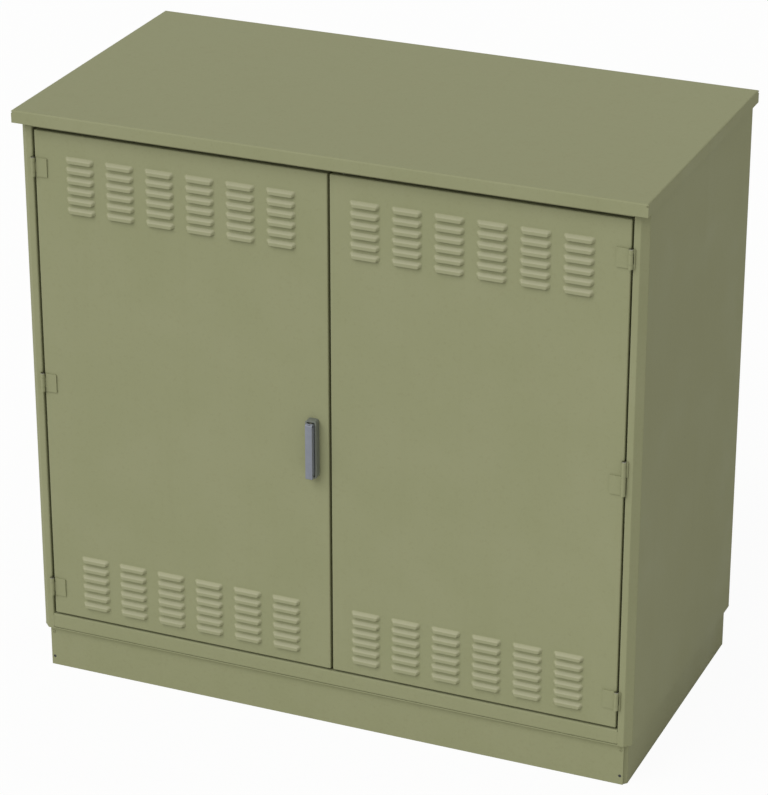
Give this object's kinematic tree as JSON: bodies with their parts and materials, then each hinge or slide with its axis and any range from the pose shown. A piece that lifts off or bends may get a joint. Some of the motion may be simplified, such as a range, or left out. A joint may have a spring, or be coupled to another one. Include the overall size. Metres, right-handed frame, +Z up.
{
  "type": "roadside utility cabinet",
  "caption": "Low sheet-metal roadside cabinet on a plinth with a lipped flat roof, two louvred doors on butt hinges, a swing handle with lock rods and an equipment plate inside.",
  "frame": {"origin": "centre of the four floor anchor holes, in the plane of the plinth underside", "axes": "+X along the doors from the left door to the right door, +Y from the doors to the back, +Z up"},
  "size_m": [1.21, 0.6344, 1.146],
  "materials": {
    "painted_sheet": "semi-matt powder coat, pebble grey",
    "zinc_sheet": "zinc plated sheet",
    "zinc_steel": "zinc plated steel",
    "seal_rubber": "black cellular rubber",
    "filter_fleece": "grey filter fleece",
    "handle_base": "dark moulded plastic",
    "handle_lever": "blue grey moulded plastic"
  },
  "bodies": {
    "cabinet": {"plinth_front": "painted_sheet", "plinth_rear": "painted_sheet", "plinth_left_side": "painted_sheet", "plinth_right_side": "painted_sheet", "plinth_bolts": "zinc_steel", "plinth_nuts": "zinc_steel", "floor_plate": "painted_sheet", "gland_plate": "zinc_sheet", "gland_plate_screws": "zinc_steel", "left_side_panel": "painted_sheet", "right_side_panel": "painted_sheet", "back_panel": "painted_sheet", "header": "painted_sheet", "sill": "painted_sheet", "roof": "painted_sheet", "roof_studs": "zinc_steel", "roof_nuts": "zinc_steel", "mounting_plate": "zinc_sheet", "plate_standoffs": "zinc_steel", "plate_nuts": "zinc_steel", "earth_stud": "zinc_steel", "earth_nut": "zinc_steel", "door_stops": "painted_sheet", "left_frame_leaves": "painted_sheet", "right_frame_leaves": "painted_sheet", "left_hinge_pins": "zinc_steel", "right_hinge_pins": "zinc_steel"},
    "left_door": {"left_door_skin": "painted_sheet", "left_door_seal": "seal_rubber", "left_filter_trays": "zinc_sheet", "left_filter_mats": "filter_fleece", "left_door_stiffeners": "painted_sheet", "left_door_leaves": "painted_sheet", "handle_base": "handle_base", "handle_nut": "zinc_steel", "rod_guides": "zinc_steel"},
    "right_door": {"right_door_skin": "painted_sheet", "right_door_seal": "seal_rubber", "right_filter_trays": "zinc_sheet", "right_filter_mats": "filter_fleece", "right_door_stiffeners": "painted_sheet", "right_door_leaves": "painted_sheet", "bolt_brackets": "zinc_steel"},
    "handle": {"handle_spindle": "zinc_steel", "lock_cam": "zinc_steel"},
    "lever": {"handle_lever": "handle_lever", "lever_pin": "zinc_steel"},
    "upper_rod": {"upper_lock_rod": "zinc_steel"},
    "lower_rod": {"lower_lock_rod": "zinc_steel"},
    "upper_bolt": {"upper_slide_bolt": "zinc_steel"},
    "lower_bolt": {"lower_slide_bolt": "zinc_steel"}
  },
  "joints": [
    {"name": "left_door_hinge", "type": "hinge", "parent": "cabinet", "child": "left_door", "pos_m": [-0.5723, -0.3075, 0.608], "axis": [0, 0, -1], "range_deg": [0, 120]},
    {"name": "right_door_hinge", "type": "hinge", "parent": "cabinet", "child": "right_door", "pos_m": [0.5723, -0.3075, 0.608], "axis": [0, 0, 1], "range_deg": [0, 120]},
    {"name": "handle_turn", "type": "hinge", "parent": "left_door", "child": "handle", "pos_m": [-0.021, -0.303, 0.6235], "axis": [0, 1, 0], "range_deg": [0, 90]},
    {"name": "lever_lift", "type": "hinge", "parent": "handle", "child": "lever", "pos_m": [-0.021, -0.3224, 0.6235], "axis": [-1, 0, 0], "range_deg": [0, 25]},
    {"name": "upper_rod_slide", "type": "slide", "parent": "left_door", "child": "upper_rod", "axis": [0, 0, 1], "range_m": [-0.0228, 0]},
    {"name": "lower_rod_slide", "type": "slide", "parent": "left_door", "child": "lower_rod", "axis": [0, 0, 1], "range_m": [0, 0.0228]},
    {"name": "upper_bolt_slide", "type": "slide", "parent": "right_door", "child": "upper_bolt", "axis": [0, 0, -1], "range_m": [0, 0.02]},
    {"name": "lower_bolt_slide", "type": "slide", "parent": "right_door", "child": "lower_bolt", "axis": [0, 0, 1], "range_m": [0, 0.02]}
  ],
  "couplings": [
    {"joint": "upper_rod_slide", "follows": "handle_turn", "m_per_rad": -0.014405},
    {"joint": "lower_rod_slide", "follows": "handle_turn", "m_per_rad": 0.014405}
  ]
}
